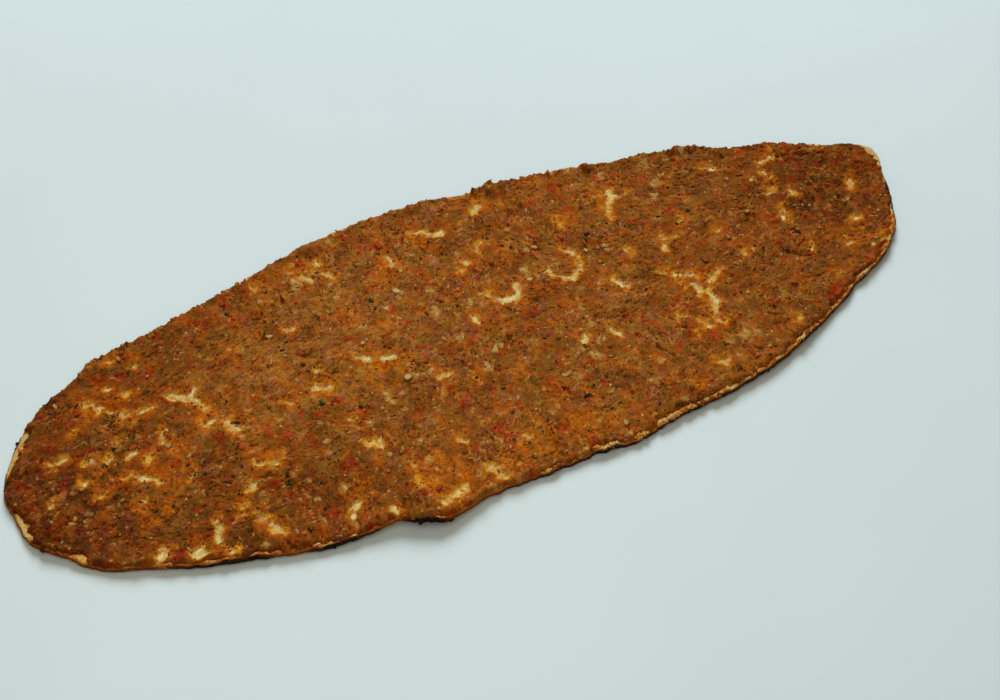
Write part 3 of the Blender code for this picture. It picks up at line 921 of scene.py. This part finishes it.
class Shader:
    """A material's node tree, with short ways to add and link nodes.

    A value can be a number, a colour, another node's output, or the name of a number that the points carry.
    Sizes of patterns are in millimetres.
    """

    def __init__(self, name, roughness, specular):
        self.material = bpy.data.materials.new(name)
        self.material.use_nodes = True
        self.nodes, self.links = self.material.node_tree.nodes, self.material.node_tree.links
        self.surface = self.nodes["Principled BSDF"]
        self.surface.inputs["Roughness"].default_value = roughness
        self.surface.inputs["Specular IOR Level"].default_value = specular
        self.place = self.add("TexCoord", {}).outputs["Object"]

    def fill(self, node, inputs):
        """Gives each of these inputs its value."""
        for key, value in inputs.items():
            if isinstance(value, str):
                value = self.add("Attribute", {}, attribute_name=value).outputs["Fac"]
            if isinstance(value, bpy.types.NodeSocket):
                self.links.new(value, node.inputs[key])
            else:
                node.inputs[key].default_value = value

    def add(self, kind, inputs, **settings):
        """A new node of this kind, with these inputs and settings."""
        node = self.nodes.new("ShaderNode" + kind)
        for name, setting in settings.items():
            setattr(node, name, setting)
        self.fill(node, inputs)
        return node

    def math(self, operation, first, second=0.0):
        """The result of an operation on one or two values."""
        return self.add("Math", {0: first, 1: second}, operation=operation).outputs[0]

    def times(self, first, second):
        """The product of two values."""
        return self.math("MULTIPLY", first, second)

    def total(self, *parts):
        """The sum of values, each given as (value, weight)."""
        total = None
        for value, weight in parts:
            part = self.times(value, weight)
            total = part if total is None else self.math("ADD", total, part)
        return total

    def fit(self, value, low, high, to_low=0.0, to_high=1.0):
        """The value moved from one range to another, and held inside it."""
        limits = {"From Min": low, "From Max": high, "To Min": to_low, "To Max": to_high}
        return self.add("MapRange", {"Value": value, **limits}).outputs["Result"]

    def sparse(self, noise):
        """Noise round 0 in which small swings shrink, so that only the strongest specks show."""
        swing = self.fit(noise, 0.2, 0.8, -0.75, 0.75)
        return self.times(self.times(swing, self.math("ABSOLUTE", swing)), 2.4)

    def vector(self, operation, *inputs):
        """The result of an operation on vectors."""
        return self.add("VectorMath", dict(enumerate(inputs)), operation=operation).outputs[0]

    def moved(self, seed):
        """The object's coordinates, moved so that each seed gives another pattern."""
        return self.vector("ADD", self.place, (1.37 * seed, 0.71 * seed, 0.29 * seed))

    def clouds(self, place, size, detail, roughness, distortion=0.0):
        """A node of noise about this size."""
        return self.add("TexNoise", {
            "Vector": place, "Scale": 1 / (size * MM), "Detail": detail, "Roughness": roughness,
            "Distortion": distortion})

    def noise(self, size, detail, roughness, distortion, seed):
        """Noise about this size, mostly from 0.3 to 0.7."""
        return self.clouds(self.moved(seed), size, detail, roughness, distortion).outputs["Fac"]

    def cell_numbers(self, cell):
        """Three random numbers from 0 to 1 for each cell."""
        return self.add("SeparateColor", {0: cell.outputs["Color"]}).outputs

    def chunks(self, size, seed):
        """Three random numbers for each of the ragged soft cells about this size."""
        bend = self.clouds(self.moved(seed + 50), size / 1.6, 3, 0.7).outputs["Color"]
        bent = self.vector("MULTIPLY_ADD", bend, (1.5 * size * MM,) * 3, self.moved(seed))
        inputs = {"Vector": bent, "Scale": 1 / (size * MM), "Smoothness": 0.25}
        cell = self.add("TexVoronoi", inputs, voronoi_dimensions="2D", feature="SMOOTH_F1")
        return self.cell_numbers(cell)

    def fibres(self, width, stretch, lump, seed):
        """Noise drawn out into threads about this wide, whose direction changes from lump to lump."""
        place = self.moved(seed)
        cell = self.add("TexVoronoi", {"Vector": place, "Scale": 1 / (lump * MM)}, voronoi_dimensions="2D")
        angle = self.times(self.cell_numbers(cell)[0], pi)
        inputs = {"Vector": place, "Center": cell.outputs["Position"], "Angle": angle}
        turned = self.add("VectorRotate", inputs, rotation_type="Z_AXIS").outputs[0]
        drawn = self.vector("MULTIPLY", turned, (1 / stretch, 1, 1))
        return self.clouds(drawn, width, 3, 0.6, 0.6).outputs["Fac"]

    def ramp(self, value, stops):
        """A colour that changes with a value, through stops of (position, red, green, blue)."""
        node = self.add("ValToRGB", {"Fac": value})
        elements = node.color_ramp.elements
        while len(elements) < len(stops):
            elements.new(0.5)
        for element, (position, *colour) in zip(elements, stops):
            element.position = position
            element.color = srgb(*colour)
        return node.outputs["Color"]

    def mix(self, factor, first, second):
        """The first colour where the factor is 0, and the second where it is 1."""
        return self.add("Mix", {"Factor": factor, 6: first, 7: second}, data_type="RGBA").outputs[2]

    def lay(self, first, second, value, low, high, most=1.0):
        """The first colour where the value is low, under this much of the second where it is high."""
        return self.mix(self.fit(value, low, high, 0, most), first, second)

    def finish(self, colour, height, distance, strength):
        """The material, with this colour and with bumps of this height."""
        bump = self.add("Bump", {"Distance": distance, "Strength": strength, "Height": height})
        self.fill(self.surface, {"Base Color": colour, "Normal": bump.outputs["Normal"]})
        return self.material


def bare_dough(shader, colour):
    """Lays the oily edge and the pale middle of the bare streaks over a colour."""
    ragged = shader.total(("streak", 1), (shader.noise(1.8, 3, 0.6, 0.3, 21), 4), (1.0, -2))
    varied = shader.noise(9, 2, 0.5, 0, 22)
    yellow = shader.fit(shader.noise(5, 2, 0.5, 0, 24), 0.40, 0.60)
    oily = shader.mix(yellow, srgb(184, 84, 6), srgb(198, 112, 10))
    colour = shader.mix(
        shader.times(shader.fit(ragged, -3.6, -0.8), shader.fit(varied, 0.35, 0.6, 0.3, 0.85)), colour, oily)
    rim = shader.mix(yellow, srgb(178, 104, 34), srgb(214, 158, 44))
    colour = shader.lay(colour, rim, ragged, -1.6, -0.2, 0.8)
    pale = shader.ramp(shader.noise(2.2, 3, 0.6, 0.3, 23), BARE_COLOURS)
    cover = shader.times(shader.fit(ragged, -0.3, 1.2), shader.fit(varied, 0.60, 0.44, 0.45, 1))
    return shader.mix(cover, colour, pale)


def mince_material():
    """Soft chunks in browns, with orange oil, brick-red vegetable, olive herb and pale onion among them."""
    shader = Shader("mince", 0.55, 0.02)
    small_tone, small_warm, small_odd = shader.chunks(2.0, 2)
    mid_tone, mid_hue, mid_odd = shader.chunks(3.8, 6)
    fleck_tone, fleck_warm, _ = shader.chunks(1.2, 9)
    grain = shader.noise(0.8, 3, 0.7, 0.3, 3)
    threads = shader.fibres(1.3, 3.5, 5, 8)
    blotch = shader.fit(shader.noise(6, 3, 0.6, 0.8, 4), 0.32, 0.68)
    fine = shader.total((shader.sparse(grain), 0.6), (shader.sparse(threads), 0.8))
    fine = shader.times(fine, shader.fit("rough", 0, 1, 0.7, 1.3))
    # Tone: high places are painted lighter and low ones darker, as painted highlight and shade.
    tone = shader.total(
        ("chunk", 0.08), (mid_tone, 0.12), (small_tone, 0.14), (fine, 0.25), ("relief", 0.25),
        (blotch, 0.07), (1.0, 0.142))
    rust = shader.total(("hue", 0.30), (mid_hue, 0.45), (blotch, 0.25))
    herb = shader.total(("herb", 0.60), (mid_odd, -0.20), (small_odd, 0.30), (rust, -0.20))
    oil = shader.total(("oil", 0.70), ("seam", 0.22), (small_warm, 0.25), (mid_tone, 0.15))
    frayed = shader.fit(shader.noise(1.6, 3, 0.6, 0.3, 7), 0.3, 0.7, -0.5, 0.5)
    red = shader.total(("red", 1), (frayed, 0.6))
    pale = shader.total(("pale", 1), (frayed, 0.3))
    onion = shader.total((pale, 0.45), (mid_odd, 0.25), (small_odd, 0.30))
    colour = shader.ramp(tone, MEAT_BROWNS)
    for stops, shade, value, low, high, most in (
            (MEAT_PINKS, tone, mid_odd, 0.68, 0.80, 0.6), (MEAT_RUSTS, tone, rust, 0.48, 0.66, 0.7),
            (MEAT_OLIVES, tone, herb, 0.24, 0.50, 0.65), (MEAT_ORANGES, tone, oil, 0.55, 1.0, 0.9),
            (MEAT_BRICKS, tone, red, 0.45, 1.05, 0.8), (MEAT_ONIONS, onion, pale, 0.30, 0.95, 0.8)):
        colour = shader.lay(colour, shader.ramp(shade, stops), value, low, high, most)
    # Small light flecks, partly fat and partly painted highlights.
    flecks_and_highlights = shader.times(shader.fit(fleck_tone, 0.90, 0.96), shader.fit(mid_tone, 0.3, 0.7, 0.1, 0.6))
    colour = shader.mix(flecks_and_highlights, colour, shader.ramp(fleck_warm, FLECK_AND_HIGHLIGHT_COLOURS))
    # Painted shade: the gaps between threads, and the crevices, pits and cracks, are darkened towards a deep
    # brown.
    gap_shade = shader.times(shader.fit(threads, 0.34, 0.27), shader.fit("rough", 0.2, 0.9, 0.3, 0.9))
    crevice_and_shade = shader.math("MAXIMUM", shader.fit("crevice_and_shade", 0.15, 0.9, 0, 0.8), gap_shade)
    colour = bare_dough(shader, shader.mix(crevice_and_shade, colour, srgb(56, 22, 6)))
    height = shader.total((grain, 0.5), (threads, 0.9), (small_tone, 0.6))
    return shader.finish(colour, height, 1.0 * MM, 0.8)


def dough_material():
    """Baked dough: oily under the meat, golden on the rim's blisters, and brown to black on its side."""
    shader = Shader("baked_dough", 0.75, 0.06)
    fine = shader.noise(0.8, 4, 0.65, 0, 1)
    wide = shader.noise(2.6, 3, 0.6, 0.4, 2)
    mottle = shader.total((shader.fit(wide, 0.3, 0.7), 0.6), (shader.fit(fine, 0.3, 0.7), 0.4))
    oily = shader.ramp(mottle, OILY_DOUGH)
    stretch = shader.fit(shader.noise(5, 2, 0.5, 0.3, 4), 0.3, 0.7, -0.3, 0.3)
    # The tops of the rim's lumps are painted paler and their sides darker, as painted highlight and shade.
    bake = shader.total(
        (mottle, 0.9), ("bubble", 0.25), ("sleek", 0.40), ("top", 0.20), (stretch, 1), (1.0, -0.16))
    golden = shader.ramp(bake, GOLDEN_DOUGH)
    blister = shader.total(("blister", 1), ("bubble", 0.3), (mottle, 0.3))
    colour = bare_dough(shader, shader.lay(oily, golden, blister, 0.45, 0.95))
    side = shader.total(("side", 1), (mottle, 0.4), (1.0, -0.2))
    warm = shader.times(shader.fit(side, 0.25, 0.65), shader.fit("sleek", 0, 1, 0.3, 0.8))
    colour = shader.mix(warm, colour, srgb(178, 106, 30))
    browned = shader.ramp(mottle, BROWNED_DOUGH)
    colour = shader.lay(colour, browned, side, 0.60, 0.95, 0.95)
    leopard = shader.noise(17, 4, 0.5, 0.2, 3)
    under = shader.ramp(shader.total((leopard, 1), (fine, 0.10)), UNDERSIDE)
    colour = shader.mix("below", colour, under)
    burnt = shader.total(("char", 1), (fine, 0.9), (wide, 1.1))
    colour = shader.lay(colour, srgb(76, 36, 22), burnt, 1.35, 1.65, 0.9)
    colour = shader.lay(colour, srgb(32, 20, 15), burnt, 1.75, 2.10)
    return shader.finish(colour, shader.math("ADD", fine, wide), 0.8 * MM, 0.9)


def bit_material(name, stops, roughness, fades):
    """A colour that goes by each bit's own tone. If it fades, the bit's border is brown like meat."""
    shader = Shader(name, roughness, 0.05)
    fine = shader.noise(0.9, 3, 0.6, 0, 1)
    colour = shader.ramp(shader.total(("tone", 0.7), (fine, 0.4)), stops)
    if fades:
        shown = shader.total(("top", 1), (shader.fit(fine, 0.3, 0.7), 0.6))
        colour = shader.mix(shader.fit(shown, 0.35, 1.3), srgb(146, 82, 24), colour)
    return shader.finish(colour, fine, 0.3 * MM, 0.5)


def plain_material(name, colour, roughness, mottle):
    """A material in one colour, slightly mottled in spots about this size."""
    shader = Shader(name, roughness, 0.2)
    fine = shader.noise(mottle, 4, 0.6, 0, 1)
    shade = shader.mix(shader.fit(fine, 0.3, 0.7), colour, tuple(0.93 * c for c in colour[:3]) + (1,))
    return shader.finish(shade, fine, 0.2 * MM, 0.3)


# The set: floor, light and camera.

def make_set():
    """A pale floor, warm light from all round, and two soft lamps."""
    bpy.ops.mesh.primitive_plane_add(size=FLOOR_SIZE, location=(0, 0, 0))
    floor = bpy.context.object
    floor.name = "floor"
    paint = plain_material("pale_floor", srgb(208, 223, 222), roughness=0.85, mottle=400)
    floor.data.materials.append(paint)

    world = bpy.data.worlds.new("soft_room")
    world.use_nodes = True
    world.node_tree.nodes["Background"].inputs["Color"].default_value = ROOM_COLOUR
    world.node_tree.nodes["Background"].inputs["Strength"].default_value = ROOM_STRENGTH
    bpy.context.scene.world = world
    for lamp in LAMPS:
        add_lamp(*lamp)


def add_lamp(name, size, power, place, colour):
    """A round soft light that faces the middle of the table."""
    light = bpy.data.lights.new(name, "AREA")
    light.color = colour
    light.shape = "DISK"
    light.size = size
    light.energy = power
    aim(bpy.data.objects.new(name, light), place, -Vector(place))


def make_camera():
    """A camera that looks down across the long axis."""
    camera = bpy.data.objects.new("camera", bpy.data.cameras.new("camera"))
    camera.data.lens = LENS
    camera.data.sensor_width = SENSOR
    heading, pitch = radians(CAMERA_HEADING), radians(CAMERA_PITCH)
    look = Vector((sin(heading) * cos(pitch), cos(heading) * cos(pitch), -sin(pitch)))
    aim(camera, CAMERA_PLACE, look)
    bpy.context.scene.camera = camera


def aim(thing, place, look):
    """Puts a lamp or camera in its place, and turns it to look this way."""
    thing.location = place
    thing.rotation_euler = look.to_track_quat("-Z", "Y").to_euler()
    bpy.context.scene.collection.objects.link(thing)


def main():
    """Builds every piece, and then the set round them."""
    bpy.context.scene.view_settings.view_transform = "Standard"
    mince, dough = mince_material(), dough_material()
    make_bread(dough)
    make_rim_lumps(dough)
    make_meat(mince)
    make_grains(mince)
    make_crumbs(mince)
    onion = bit_material("onion", ONION_COLOURS, roughness=0.6, fades=True)
    make_chips("onion_bits", ONION_CHIPS, onion, LARGE_ONIONS)
    pepper = bit_material("pepper", PEPPER_COLOURS, roughness=0.6, fades=True)
    make_chips("pepper_bits", PEPPER_CHIPS, pepper)
    make_parsley(bit_material("parsley", PARSLEY_COLOURS, roughness=0.7, fades=False))
    make_char_flakes(plain_material("charred_crust", srgb(36, 22, 16), roughness=0.8, mottle=1))
    make_set()
    make_camera()


main()
